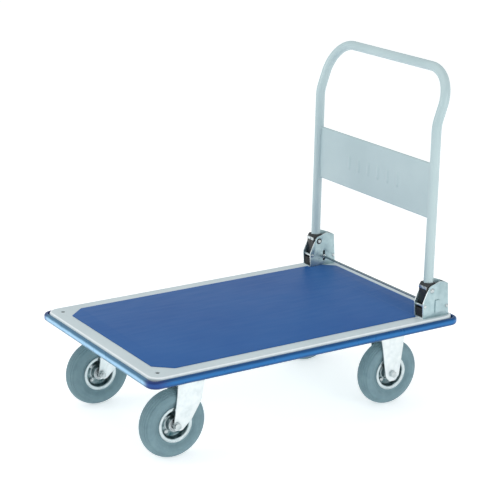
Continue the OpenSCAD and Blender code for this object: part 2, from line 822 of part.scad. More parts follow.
module rim_bolts() {
    color("silver") for (i = [0:3]) rotate([45 + 90 * i, 0, 0]) translate([0, rim_bolt_pcr, 0]) {
        rod_x(3, -rim_t - 6, rim_t + 1);
        translate([rim_t, 0, 0]) rotate([0, 90, 0]) cylinder(r = 5.6, h = 4.2, $fn = 6);
        translate([-rim_t - 5, 0, 0]) rotate([0, 90, 0]) cylinder(r = 5.6, h = 5, $fn = 6);
    }
}

module tyre() {
    tube_c = tyre_r - tyre_w / 2;
    color("lightslategray") turned_x() difference() {
        union() {
            difference() {
                translate([tube_c, 0]) circle(tyre_w / 2);
                translate([0, -tyre_w]) square([rim_r + 1, 2 * tyre_w]);
            }
            translate([well_r, -bead_x]) square([tube_c - well_r, 2 * bead_x]);
        }
        translate([tube_c, 0]) circle(tyre_w / 2 - 6, $fn = 32);
        translate([well_r - 1, -bead_x + 6]) square([tube_c - well_r, 2 * bead_x - 12]);
        for (i = [0:rib_count - 1]) translate([tube_c, 0]) rotate((i - (rib_count - 1) / 2) * rib_pitch)
            translate([tyre_w / 2 - groove_depth, -groove_w / 2]) square([3, groove_w]);
    }
}

// ---- nodes ----

deck_panel();
deck_mat();
bumper();
cross_channel(front_pin_y);  // front_channel
cross_channel(rear_axle_y);  // rear_channel
long_ribs();
at_hinge(-1) bracket();  // bracket_left
at_hinge(1) bracket();  // bracket_right
cross_pins();
stop_blocks();
pivot_pins();
pivot_bushes();
platform_bolts();
platform_nuts();
lock_springs();
lock_bar();
lock_bar_clips();
handle_tube();
handle_panel();
knuckle_at(-1);  // knuckle_left
knuckle_at(1);  // knuckle_right
knuckle_straps();
knuckle_rivets();
swivel_plate(-1);  // swivel_plate_left
swivel_plate(1);  // swivel_plate_right
kingpins();
swivel_balls();
swivel_fork(-1);  // swivel_fork_left
swivel_fork(1);  // swivel_fork_right
rigid_fork(-1);  // rigid_fork_left
rigid_fork(1);  // rigid_fork_right
at_wheel(true, -1) axle();  // front_axle_left
at_wheel(true, 1) axle();  // front_axle_right
for (s = [-1, 1]) at_wheel(false, s) axle();  // rear_axles
at_wheel(true, -1) sleeve();  // front_sleeve_left
at_wheel(true, 1) sleeve();  // front_sleeve_right
for (s = [-1, 1]) at_wheel(false, s) sleeve();  // rear_sleeves
at_wheel(true, -1) axle_nut();  // front_axle_nut_left
at_wheel(true, 1) axle_nut();  // front_axle_nut_right
for (s = [-1, 1]) at_wheel(false, s) axle_nut();  // rear_axle_nuts
at_wheel(true, -1) tyre();  // tyre_front_left
at_wheel(true, 1) tyre();  // tyre_front_right
at_wheel(false, -1) tyre();  // tyre_rear_left
at_wheel(false, 1) tyre();  // tyre_rear_right
at_wheel(true, -1) rim_half(0);  // rim_outer_front_left
at_wheel(true, 1) rim_half(0);  // rim_outer_front_right
at_wheel(false, -1) rim_half(0);  // rim_outer_rear_left
at_wheel(false, 1) rim_half(0);  // rim_outer_rear_right
at_wheel(true, -1) rim_half(1);  // rim_inner_front_left
at_wheel(true, 1) rim_half(1);  // rim_inner_front_right
at_wheel(false, -1) rim_half(1);  // rim_inner_rear_left
at_wheel(false, 1) rim_half(1);  // rim_inner_rear_right
at_wheel(true, -1) rim_bolts();  // rim_bolts_front_left
at_wheel(true, 1) rim_bolts();  // rim_bolts_front_right
at_wheel(false, -1) rim_bolts();  // rim_bolts_rear_left
at_wheel(false, 1) rim_bolts();  // rim_bolts_rear_right
at_wheel(true, -1) bearings();  // bearings_front_left
at_wheel(true, 1) bearings();  // bearings_front_right
at_wheel(false, -1) bearings();  // bearings_rear_left
at_wheel(false, 1) bearings();  // bearings_rear_right
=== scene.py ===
import json
from math import cos, pi, radians, sin, tan

import bmesh
import bpy
import numpy as np
from mathutils import Matrix, Vector
from mathutils.geometry import tessellate_polygon


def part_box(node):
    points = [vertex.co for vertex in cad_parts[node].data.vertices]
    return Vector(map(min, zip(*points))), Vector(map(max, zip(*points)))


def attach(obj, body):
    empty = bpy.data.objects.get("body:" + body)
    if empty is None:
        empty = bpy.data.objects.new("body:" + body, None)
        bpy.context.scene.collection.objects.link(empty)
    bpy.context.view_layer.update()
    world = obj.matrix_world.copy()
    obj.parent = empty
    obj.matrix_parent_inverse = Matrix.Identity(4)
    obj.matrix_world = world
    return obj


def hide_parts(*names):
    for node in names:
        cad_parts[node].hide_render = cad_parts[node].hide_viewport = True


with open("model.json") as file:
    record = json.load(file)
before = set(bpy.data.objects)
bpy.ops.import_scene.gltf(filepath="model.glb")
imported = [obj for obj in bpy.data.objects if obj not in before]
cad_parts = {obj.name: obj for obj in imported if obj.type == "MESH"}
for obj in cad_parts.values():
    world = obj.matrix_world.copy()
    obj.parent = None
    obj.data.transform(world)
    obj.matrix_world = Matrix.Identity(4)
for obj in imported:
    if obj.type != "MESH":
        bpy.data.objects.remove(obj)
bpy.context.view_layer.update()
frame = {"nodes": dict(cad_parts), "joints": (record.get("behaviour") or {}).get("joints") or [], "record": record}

# Folding platform cart. Lengths in the dictionaries are millimetres, angles are degrees.
mm = 0.001
record = frame["record"]
slotOf = {part["node"]: part["material_slot"] for part in record["subparts"]}
bodyOf = {name: body for body, names in record["behaviour"]["bodies"].items() for name in names}
jointAt = {joint["name"]: Vector(joint.get("pos_m") or (0, 0, 0)) for joint in frame["joints"]}
wheelNames = ["front_left", "front_right", "rear_left", "rear_right"]


def camel(name):
    # rim_inner_rear_left becomes rimInnerRearLeft
    first, *rest = name.split("_")
    return first + "".join(word.capitalize() for word in rest)


# camera

cameraSetup = {
    "azimuth": 58.444,
    "elevation": 16.928,
    "roll": 0.056,
    "place": (3538.74, -2173.15, 1686.07),
    "lens": 120.3,
    "sensor": 36,
}


def makeCamera():
    az, el, roll = (radians(cameraSetup[key]) for key in ("azimuth", "elevation", "roll"))
    back = Vector((sin(az) * cos(el), -cos(az) * cos(el), sin(el)))
    right = Vector((cos(az), sin(az), 0))
    turned = Matrix.Rotation(roll, 3, back)
    right, up = turned @ right, turned @ back.cross(right)
    data = bpy.data.cameras.new("mainCamera")
    data.lens = cameraSetup["lens"]
    data.sensor_width = cameraSetup["sensor"]
    camera = bpy.data.objects.new("mainCamera", data)
    camera.matrix_world = Matrix((right, up, back)).transposed().to_4x4()
    camera.location = Vector(cameraSetup["place"]) * mm
    bpy.context.scene.collection.objects.link(camera)
    bpy.context.scene.camera = camera


makeCamera()
print("camera placed")


# materials: helpers

def linear(hexColour):
    # sRGB to linear: ((c + 0.055) / 1.055) ^ 2.4, or c / 12.92 near black
    c = np.array([int(hexColour[i:i + 2], 16) for i in (1, 3, 5)]) / 255
    c = np.where(c > 0.04045, ((c + 0.055) / 1.055) ** 2.4, c / 12.92)
    return (*c.tolist(), 1.0)


def addNode(tree, kind, settings={}, links={}, to=None):
    # settings are properties or input values; a link comes from an output, or from a node's first output
    made = tree.nodes.new("ShaderNode" + kind)
    for key, value in settings.items():
        if isinstance(key, str) and key in made.bl_rna.properties:
            setattr(made, key, value)
        else:
            made.inputs[key].default_value = value
    for key, source in links.items():
        tree.links.new(getattr(source, "outputs", [source])[0], made.inputs[key])
    if to is not None:
        tree.links.new(made.outputs[0], to)
    return made


def startMaterial(name, hexColour, roughness, metallic=0.0, **sockets):
    material = bpy.data.materials.new(name)
    material.use_nodes = True
    material.diffuse_color = linear(hexColour)
    tree = material.node_tree
    shader = tree.nodes["Principled BSDF"]
    shader.inputs["Base Color"].default_value = linear(hexColour)
    shader.inputs["Roughness"].default_value = roughness
    shader.inputs["Metallic"].default_value = metallic
    for key, value in sockets.items():
        shader.inputs[key.replace("_", " ")].default_value = value
    coords = addNode(tree, "TexCoord")
    return material, tree, shader, coords.outputs["Object"]


noiseSpan = {"From Min": 0.3, "From Max": 0.7}     # where most of the noise lies
gentle = {"interpolation_type": "SMOOTHSTEP"}


def mottle(tree, shader, place, blotMm, detail, colours, roughness=0.5):
    # noise with blots of about blotMm runs through the colours in even steps
    noise = addNode(tree, "TexNoise", {"Scale": 1000 / blotMm, "Detail": detail, "Roughness": roughness},
                    {"Vector": place})
    spread = addNode(tree, "MapRange", noiseSpan, {"Value": noise})
    ramp = addNode(tree, "ValToRGB", {}, {"Fac": spread}, shader.inputs["Base Color"])
    stops = ramp.color_ramp.elements
    while len(stops) < len(colours):
        stops.new(0.5)
    for i, hexColour in enumerate(colours):
        stops[i].position = i / (len(colours) - 1)
        stops[i].color = linear(hexColour)
    return ramp


def unevenGloss(tree, shader, place, blotMm, detail, low, high):
    # roughness between low and high, in blots of about blotMm
    noise = addNode(tree, "TexNoise", {"Scale": 1000 / blotMm, "Detail": detail}, {"Vector": place})
    addNode(tree, "MapRange", {**noiseSpan, "To Min": low, "To Max": high}, {"Value": noise},
            shader.inputs["Roughness"])


def grain(tree, shader, place, grainMm, detail, depthMm, strength, roughness=0.6, links={}):
    # relief of noise, depthMm deep, with grains of about grainMm
    noise = addNode(tree, "TexNoise", {"Scale": 1000 / grainMm, "Detail": detail, "Roughness": roughness},
                    {"Vector": place})
    return addNode(tree, "Bump", {"Strength": strength, "Distance": depthMm * mm}, {"Height": noise, **links},
                   shader.inputs["Normal"])


def bandAcross(tree, band):
    # rises smoothly from start to full and falls from until to end, in mm across the piece's own map
    across = addNode(tree, "SeparateXYZ", {}, {0: addNode(tree, "UVMap", {"uv_map": "surface"})}).outputs["X"]
    rise, fall = (
        addNode(tree, "MapRange", {**gentle, "From Min": band[none] * mm, "From Max": band[whole] * mm},
                {"Value": across}) for none, whole in (("start", "full"), ("end", "until")))
    return addNode(tree, "Math", {"operation": "MULTIPLY"}, {0: rise, 1: fall})


# materials: one function for each finish

deckBendHighlight = {"start": 6.0, "full": 8.0, "until": 10.0, "end": 12.5}     # mm round the bend, from the flat, where the deck's edge gets a painted highlight


def powderCoat(name, colours, roughness=0.38, bendHighlight=None):
    # Polyester powder coat, sprayed and baked: a satin film whose orange peel softens reflections.
    # The peel's 2 mm cells are drawn at 4 mm, since finer ones don't show. Where a highlight colour
    # is given, a painted highlight makes the crest of a bent edge paler.
    material, tree, shader, place = startMaterial(name, colours[1], roughness, IOR=1.5, Coat_Weight=0.15,
                                                  Coat_Roughness=0.2)
    paint = mottle(tree, shader, place, 140, 4, colours)
    if bendHighlight:
        # painted highlight: the crest of the bend is mixed towards the paler colour
        crest = bandAcross(tree, deckBendHighlight)
        highlighted = addNode(tree, "Mix", {"data_type": "RGBA", 7: linear(bendHighlight)}, {0: crest, 6: paint})
        tree.links.new(highlighted.outputs[2], shader.inputs["Base Color"])
    unevenGloss(tree, shader, place, 35, 4, roughness - 0.05, roughness + 0.08)
    grain(tree, shader, place, 4, 2, 0.05, 0.35, 0.5)
    return material


def calenderedPvc():
    # PVC sheet, calendered between polished rolls: even colour and a soft sheen, with faint scuffs
    # along the cart where loads are pushed on.
    material, tree, shader, place = startMaterial("calenderedPvcMat", "#235c9e", 0.42, IOR=1.5,
                                                  Specular_IOR_Level=0.18)
    mottle(tree, shader, place, 260, 3, ["#1f589b", "#235c9e", "#2860a1"])
    lengthways = addNode(tree, "Mapping", {"Scale": (1, 0.15, 1)}, {"Vector": place})
    scuffs = addNode(tree, "TexNoise", {"Scale": 1000 / 14, "Detail": 3}, {"Vector": lengthways})
    addNode(tree, "MapRange", {"From Min": 0.35, "From Max": 0.7, "To Min": 0.42, "To Max": 0.48},
            {"Value": scuffs}, shader.inputs["Roughness"])
    skin = grain(tree, shader, place, 3.5, 3, 0.05, 0.3)
    grain(tree, shader, place, 150, 2, 0.5, 0.4, 0.5, {"Normal": skin})     # the sheet isn't quite flat
    return material


bumperPaintedLight = {
    "crest": 25.0,     # mm from the inner end of the profile to the middle of its outer face
    "reach": 7.5,      # mm on each side over which the painted highlight fades
    "heart": 1.2,      # mm on each side where the painted highlight is full
    "ragged": 2.0,     # mm that the band wanders
    "front": [443, 456],           # mm ahead of the middle, where the front's painted reflection and highlight start and are full
    "cornerAhead": [395, 440],     # the same for the corners' painted shade
    "cornerAside": [262, 290],
    "sideColours": ["#0c4a80", "#1a6cae"],     # plain colour, painted highlight
    # at the front, a greyer blue as painted reflection and a paler painted highlight
    "frontColours": ["#477593", "#9ccbec"],
    "cornerColours": ["#1a3470", "#1f4c93"],   # painted shade, darker, where the strip goes round the corners
}


def extrudedPvc():
    # Flexible PVC, extruded: satin skin with die lines that run along the profile. A painted highlight runs
    # along the outer face, palest at the front; the front is greyed as painted reflection, the corners get painted
    # shade.
    material, tree, shader, place = startMaterial("extrudedPvcBumper", "#1d6fb4", 0.3, IOR=1.53,
                                                  Coat_Weight=0.12, Coat_Roughness=0.15,
                                                  Specular_IOR_Level=0.22)
    w = bumperPaintedLight
    along = addNode(tree, "UVMap", {"uv_map": "surface"})
    across = addNode(tree, "SeparateXYZ", {}, {0: along}).outputs["X"]
    offCrest = addNode(tree, "Math", {"operation": "SUBTRACT", 1: w["crest"] * mm}, {0: across})
    offCrest = addNode(tree, "Math", {"operation": "ABSOLUTE"}, {0: offCrest})
    patches = addNode(tree, "TexNoise", {"Scale": 1000 / 45, "Detail": 3}, {"Vector": place})
    wander = w["ragged"] * mm
    ragged = addNode(tree, "Math", {"operation": "MULTIPLY_ADD", 1: 2 * wander, 2: -wander}, {0: patches})
    offCrest = addNode(tree, "Math", {"operation": "ADD"}, {0: offCrest, 1: ragged})
    # painted highlight: a band along the middle of the outer face, with ragged edges
    highlightBand = addNode(tree, "MapRange", {**gentle, "From Min": w["reach"] * mm, "From Max": w["heart"] * mm},
                     {"Value": offCrest})
    axes = addNode(tree, "SeparateXYZ", {}, {0: place}).outputs
    aside = addNode(tree, "Math", {"operation": "ABSOLUTE"}, {0: axes["X"]})
    outward = addNode(tree, "MapRange", {**gentle, "From Min": w["cornerAside"][0] * mm,
                                         "From Max": w["cornerAside"][1] * mm}, {"Value": aside})
    ahead, cornerward = (
        addNode(tree, "MapRange", {**gentle, "From Min": -start * mm, "From Max": -full * mm},
                {"Value": axes["Y"]}) for start, full in (w["front"], w["cornerAhead"]))
    atCorner = addNode(tree, "Math", {"operation": "MULTIPLY"}, {0: cornerward, 1: outward})
    # colours of the sides, front and corners, each mixed with its painted highlight
    side, front, corner = (
        addNode(tree, "Mix", {"data_type": "RGBA", 6: linear(skin), 7: linear(lit)}, {0: highlightBand}).outputs[2]
        for skin, lit in (w["sideColours"], w["frontColours"], w["cornerColours"]))
    straight = addNode(tree, "Mix", {"data_type": "RGBA"}, {0: ahead, 6: side, 7: front}).outputs[2]
    colour = addNode(tree, "Mix", {"data_type": "RGBA"}, {0: atCorner, 6: straight, 7: corner}).outputs[2]
    tree.links.new(colour, shader.inputs["Base Color"])
    unevenGloss(tree, shader, place, 18, 3, 0.26, 0.38)
    drawn = addNode(tree, "Mapping", {"Scale": (1, 0.002, 1)}, {"Vector": along})
    grain(tree, shader, drawn, 2.4, 2, 0.03, 0.2, 0.5)
    return material


def zincPlate(name, colours, roughness, streak=(1, 1, 0.25)):
    # Electroplated zinc with a clear blue passivation: bright metal, cloudy where the bath was uneven,
    # over the fine lines of rolled sheet.
    material, tree, shader, place = startMaterial(name, colours[1], roughness, metallic=1.0)
    mottle(tree, shader, place, 16, 4, colours, 0.55)
    stretched = addNode(tree, "Mapping", {"Scale": streak}, {"Vector": place})
    rolled = addNode(tree, "TexNoise", {"Scale": 1000 / 2.2, "Detail": 3, "Roughness": 0.6},
                     {"Vector": stretched})
    addNode(tree, "Math", {"operation": "MULTIPLY_ADD", 1: 0.22, 2: roughness - 0.11}, {0: rolled},
            shader.inputs["Roughness"])
    addNode(tree, "Bump", {"Strength": 0.3, "Distance": 0.03 * mm}, {"Height": rolled},
            shader.inputs["Normal"])
    return material


# mm along the rim's section, from the hub: where the dish gets painted shade, and its colour
rimDishShade = {"start": 33, "full": 40, "until": 64, "end": 71, "colour": "#3a5c62"}


def shadedDishRimPlate():
    # The zinc plate of the rims, with painted shade darkening the dish between hub and bead, in patches.
    material = zincPlate("zincPlateRim", ["#c2d0d3", "#cedadc", "#d9e2e4"], 0.3)
    tree = material.node_tree
    lit = tree.nodes["Principled BSDF"].inputs["Base Color"]
    dish = bandAcross(tree, rimDishShade)
    place = addNode(tree, "TexCoord").outputs["Object"]
    noise = addNode(tree, "TexNoise", {"Scale": 1000 / 11, "Detail": 4}, {"Vector": place})
    patches = addNode(tree, "MapRange", {**noiseSpan, "To Min": 0.55, "To Max": 1}, {"Value": noise})
    # painted shade in the dish, stronger in some patches
    shaded = addNode(tree, "Math", {"operation": "MULTIPLY"}, {0: dish, 1: patches})
    shadedMix = addNode(tree, "Mix", {"data_type": "RGBA", 7: linear(rimDishShade["colour"])},
                     {0: shaded, 6: lit.links[0].from_socket})
    tree.links.new(shadedMix.outputs[2], lit)
    return material


def greyRubber():
    # Natural rubber with pale filler, moulded: dull, a little dusty, lighter where the mould vents.
    material, tree, shader, place = startMaterial("mouldedGreyRubber", "#7d9298", 0.68, IOR=1.52,
                                                  Sheen_Weight=0.15, Sheen_Roughness=0.5)
    mottle(tree, shader, place, 30, 5, ["#67848d", "#6e8c95", "#76949c"], 0.6)
    unevenGloss(tree, shader, place, 8, 3, 0.6, 0.76)
    grain(tree, shader, place, 1.8, 3, 0.1, 0.4)
    return material


def blackMoulding(name, hexColour, roughness, grainMm):
    # Glass-filled nylon or rubber, moulded in a spark-eroded tool: deep black with a fine matt grain.
    material, tree, shader, place = startMaterial(name, hexColour, roughness, IOR=1.53)
    unevenGloss(tree, shader, place, 12, 3, roughness - 0.06, roughness + 0.1)
    grain(tree, shader, place, grainMm, 3, 0.06, 0.5)
    return material


def drawnSteel(name, colours, roughness):
    # Drawn bar or wire: metal with fine lines round it from turning, and an even oxide or oil film.
    material, tree, shader, place = startMaterial(name, colours[1], roughness, metallic=1.0)
    mottle(tree, shader, place, 10, 3, colours)
    around = addNode(tree, "Mapping", {"Scale": (1, 0.1, 0.1)}, {"Vector": place})
    lines = addNode(tree, "TexNoise", {"Scale": 1000 / 1.5, "Detail": 2}, {"Vector": around})
    addNode(tree, "MapRange", {**noiseSpan, "To Min": roughness - 0.08, "To Max": roughness + 0.12},
            {"Value": lines}, shader.inputs["Roughness"])
    addNode(tree, "Bump", {"Strength": 0.3, "Distance": 0.02 * mm}, {"Height": lines},
            shader.inputs["Normal"])
    return material


surfaces = {
    # the deck's paler colour is a painted highlight along its bent edge
    "deck_paint": powderCoat("powderCoatDeck", ["#c6d3d7", "#cbd8db", "#d0dcdf"], bendHighlight="#eef4f6"),
    "mat_pvc": calenderedPvc(),
    "bumper_pvc": extrudedPvc(),
    "handle_paint": powderCoat("powderCoatHandle", ["#b0c5c8", "#b6cacd", "#bccfd1"]),
    "bracket_zinc": zincPlate("zincPlateBracket", ["#a6bdc1", "#b1c7cb", "#bcd0d3"], 0.46),
    "black_nylon": blackMoulding("mouldedBlackNylon", "#171c1e", 0.38, 1.5),
    "black_rubber": blackMoulding("mouldedBlackRubber", "#141616", 0.6, 1.2),
    "tyre_rubber": greyRubber(),
    "rim_zinc": shadedDishRimPlate(),
    "fork_zinc": zincPlate("zincPlateFork", ["#d9e1e2", "#e2e9ea", "#e9eeee"], 0.42),
    "bar_steel": zincPlate("zincPlateBar", ["#87959a", "#929fa4", "#9daaae"], 0.3, (0.3, 1, 1)),
    "bearing_steel": drawnSteel("groundBearingSteel", ["#9ba1a4", "#a8aeb0", "#b4b9bb"], 0.24),
    "spring_steel": drawnSteel("drawnSpringWire", ["#a8adaf", "#b6babc", "#c2c6c7"], 0.3),
    "fastener_zinc": zincPlate("zincPlateFastener", ["#b4bdbf", "#c4cccd", "#d2d8d9"], 0.3),
}
# paler zinc used as a painted highlight on the brackets' front and top edges
edgeHighlightZinc = zincPlate("zincPlateShearedEdge", ["#e9f0f1", "#f2f7f7", "#fafcfc"], 0.34)
print("materials made:", len(surfaces))


# surfaces: grids, caps and pieces

def gridOf(points, wrapRows=False, wrapCols=False):
    # points[i, j] is a surface of two parameters; face i, j joins rows i, i + 1 and columns j, j + 1.
    # The map called surface holds the real lengths along rows and columns, in metres.
    rows, cols = points.shape[:2]
    i = np.arange(rows if wrapRows else rows - 1)[:, None]
    j = np.arange(cols if wrapCols else cols - 1)[None, :]
    corners = np.broadcast_arrays(i * cols + j, i * cols + (j + 1) % cols,
                                  (i + 1) % rows * cols + (j + 1) % cols, (i + 1) % rows * cols + j)
    down = runLength(points[:, cols // 2], wrapRows)
    across = runLength(points[rows // 2], wrapCols)
    mapped = [np.stack(np.broadcast_arrays(down[i + di], across[j + dj]), -1)
              for di, dj in ((0, 0), (0, 1), (1, 1), (1, 0))]
    return points.reshape(-1, 3), np.stack(corners, -1).reshape(-1, 4), np.stack(mapped, 2).reshape(-1, 2)


def runLength(line, wrap):
    if wrap:
        line = np.vstack([line, line[:1]])
    return np.concatenate([[0], np.cumsum(np.linalg.norm(np.diff(line, axis=0), axis=1))])


def capOf(loops, place):
    # flat face inside the first loop and outside the others, cut into triangles
    flat = np.vstack(loops)
    triangles = tessellate_polygon([[Vector((x, y, 0)) for x, y in loop] for loop in loops])
    faces = np.array(triangles).reshape(-1, 3)
    return place(flat), faces, flat[faces].reshape(-1, 2)


def makePiece(name, parts, slot, body, standsFor=(), sharpAngle=38):
    mesh = bpy.data.meshes.new(name)
    starts = np.cumsum([0] + [len(part[0]) for part in parts])
    faces = [face for part, start in zip(parts, starts) for face in (np.asarray(part[1]) + start).tolist()]
    mesh.from_pydata(np.vstack([part[0] for part in parts]).tolist(), [], faces)
    layer = mesh.uv_layers.new(name="surface")
    layer.data.foreach_set("uv", np.vstack([part[2] for part in parts]).astype(np.float32).ravel())
    shell = bmesh.new()
    shell.from_mesh(mesh)
    bmesh.ops.remove_doubles(shell, verts=shell.verts, dist=1e-6)
    bmesh.ops.recalc_face_normals(shell, faces=shell.faces)
    shell.to_mesh(mesh)
    shell.free()
    return finishPiece(name, mesh, slot, body, standsFor, sharpAngle)


def finishPiece(name, mesh, slot, body, standsFor=(), sharpAngle=38):
    mesh.shade_smooth()
    mesh.set_sharp_from_angle(angle=radians(sharpAngle))
    mesh.materials.clear()
    mesh.materials.append(surfaces[slot])
    piece = bpy.data.objects.new(name, mesh)
    bpy.context.scene.collection.objects.link(piece)
    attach(piece, body)
    if standsFor:
        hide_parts(*standsFor)
    return piece


def softened(nodeName, widthMm, name=None, sharpAngle=30):
    # a copy of a CAD node with its facets joined and its sharp edges rounded by widthMm
    mesh = frame["nodes"][nodeName].data.copy()
    shell = bmesh.new()
    shell.from_mesh(mesh)
    bmesh.ops.remove_doubles(shell, verts=shell.verts, dist=2e-6)
    bmesh.ops.dissolve_limit(shell, angle_limit=radians(0.6), verts=shell.verts, edges=shell.edges)
    sharp = [edge for edge in shell.edges
             if edge.is_manifold and edge.calc_face_angle(0) > radians(sharpAngle)]
    bmesh.ops.bevel(shell, geom=sharp, offset=widthMm * mm, segments=2, profile=0.5, affect="EDGES",
                    clamp_overlap=True)
    bmesh.ops.recalc_face_normals(shell, faces=shell.faces)
    shell.to_mesh(mesh)
    shell.free()
    return finishPiece(name or camel(nodeName), mesh, slotOf[nodeName], bodyOf[nodeName], [nodeName], 40)


def roundCorners(corners, radius, steps=7):
    # each corner becomes an arc tangent to both sides: its centre lies r / sin(half angle) along the bisector
    corners = np.asarray(corners, float)
    radius = np.broadcast_to(np.asarray(radius, float), len(corners))
    before = np.roll(corners, 1, 0) - corners
    after = np.roll(corners, -1, 0) - corners
    before /= np.linalg.norm(before, axis=1)[:, None]
    after /= np.linalg.norm(after, axis=1)[:, None]
    half = np.arccos(np.clip((before * after).sum(1), -1, 1)) / 2
    middle = (before + after) / np.linalg.norm(before + after, axis=1)[:, None]
    centre = corners + middle * (radius / np.sin(half))[:, None]
    start = corners + before * (radius / np.tan(half))[:, None] - centre
    end = corners + after * (radius / np.tan(half))[:, None] - centre
    first = np.arctan2(start[:, 1], start[:, 0])
    turn = (np.arctan2(end[:, 1], end[:, 0]) - first + pi) % (2 * pi) - pi
    angle = first[:, None] + turn[:, None] * np.linspace(0, 1, steps)
    arcs = centre[:, None] + radius[:, None, None] * np.stack([np.cos(angle), np.sin(angle)], -1)
    return arcs.reshape(-1, 2)


def outwards(loop):
    # normals of a loop that runs anticlockwise: its direction turned a quarter clockwise
    along = np.roll(loop, -1, 0) - np.roll(loop, 1, 0)
    along /= np.linalg.norm(along, axis=1)[:, None]
    return np.stack([along[:, 1], -along[:, 0]], -1)


def circle(centre, radius, steps, clockwise=False):
    a = np.linspace(0, 2 * pi, steps, endpoint=False) * (-1 if clockwise else 1)
    return np.asarray(centre) + radius * np.stack([np.cos(a), np.sin(a)], -1)


def roundedLoop(halfX, halfY, radius, steps=16):
    # round rectangle, anticlockwise: corner centre + r (cos a, sin a), a over a quarter turn at each corner
    a = (np.arange(4)[:, None] + np.linspace(0, 1, steps)) * pi / 2
    sx, sy = np.array([1, -1, -1, 1])[:, None], np.array([1, 1, -1, -1])[:, None]
    normal = np.stack([np.cos(a), np.sin(a)], -1)
    centre = np.stack([sx * (halfX - radius) + 0 * a, sy * (halfY - radius) + 0 * a], -1)
    return (centre + radius * normal).reshape(-1, 2), normal.reshape(-1, 2)


def carried(loop, normal, profile):
    # each point of the profile (out, up) goes round the loop: loop + out * normal, at height up
    flat = loop[None] + profile[:, 0, None, None] * normal[None]
    up = np.broadcast_to(profile[:, 1, None, None], flat.shape[:2] + (1,))
    return np.concatenate([flat, up], -1)


def plate(outline, holes, low, high, rounding, place, steps=5):
    # sheet from low to high: an edge is drawn in by r (1 - cos t), at a height r (1 - sin t) inside the face
    t = np.linspace(0, pi / 2, steps)
    inset = rounding * (1 - np.cos(t))
    inside = rounding * (1 - np.sin(t))
    profile = np.concatenate([np.stack([-inset, low + inside], -1)[::-1],
                              np.stack([-inset, high - inside], -1)])
    parts, lowLoops, highLoops = [], [], []
    for loop in [outline, *holes]:
        wall = carried(loop, outwards(loop), profile)
        points, faces, uv = gridOf(wall, wrapCols=True)
        parts.append((place(points[:, :2], points[:, 2]), faces, uv))
        lowLoops.append(wall[0, :, :2])
        highLoops.append(wall[-1, :, :2])
    parts.append(capOf(lowLoops, lambda flat: place(flat, low)))
    parts.append(capOf(highLoops, lambda flat: place(flat, high)))
    return parts


def upright(flat, height):
    return np.column_stack([flat, np.broadcast_to(height, len(flat))])


def inMetres(parts, height):
    # millimetres above a height become metres above the floor
    return [((points + [0, 0, height]) * mm, faces, uv * mm) for points, faces, uv in parts]


def swept(path, radius, sides, hint, closeEnds=True):
    # tube: path + r (cos a * side + sin a * other), both square to the path; side is path x hint
    path = np.asarray(path, float)
    along = np.gradient(path, axis=0)
    along /= np.linalg.norm(along, axis=1)[:, None]
    side = np.cross(along, hint)
    side /= np.linalg.norm(side, axis=1)[:, None]
    other = np.cross(along, side)
    a = np.linspace(0, 2 * pi, sides, endpoint=False)
    radius = np.broadcast_to(radius, len(path))[:, None, None]
    ring = np.cos(a)[None, :, None] * side[:, None] + np.sin(a)[None, :, None] * other[:, None]
    tube = path[:, None] + radius * ring
    if closeEnds:
        first = np.broadcast_to(path[:1, None], (1, sides, 3))
        last = np.broadcast_to(path[-1:, None], (1, sides, 3))
        tube = np.concatenate([first, tube, last])
    return gridOf(tube, wrapCols=True)


def turned(profile, centre, sign=1, steps=96, closed=True):
    # surface of revolution about X: (x, r) becomes (x, r cos a, r sin a)
    a = np.linspace(0, 2 * pi, steps, endpoint=False)
    x = np.broadcast_to(sign * profile[:, 0, None], (len(profile), steps))
    r = profile[:, 1, None]
    return gridOf(np.stack([x, r * np.cos(a), r * np.sin(a)], -1) + np.asarray(centre), closed, True)


# deck, mat and bumper

deckSizes = {
    "cornerRadius": 32,
    "bend": 5,         # outer radius of the turned-down edge
    "sheet": 2,
    "flat": 12,        # from the outer face to where the flat part starts
    "hole": 5.5,
    "holeSide": 37,
    "holeFront": 33,
    "holeLip": 0.7,    # rounding that the punch leaves
    "sleeveDeep": 16,  # black sleeve under each hole, a dark piece that stands in for the shade inside the hole
    "sleeveWall": 2.5,
    "sleevePlay": 0.05,
    "sleeveTop": 0.1,  # reaches into the sheet
    "edge": 0.4,       # chamfer of the sheet's lower edge
    "mapGap": 5000,    # keeps the flat faces off the edge's part of the map
}


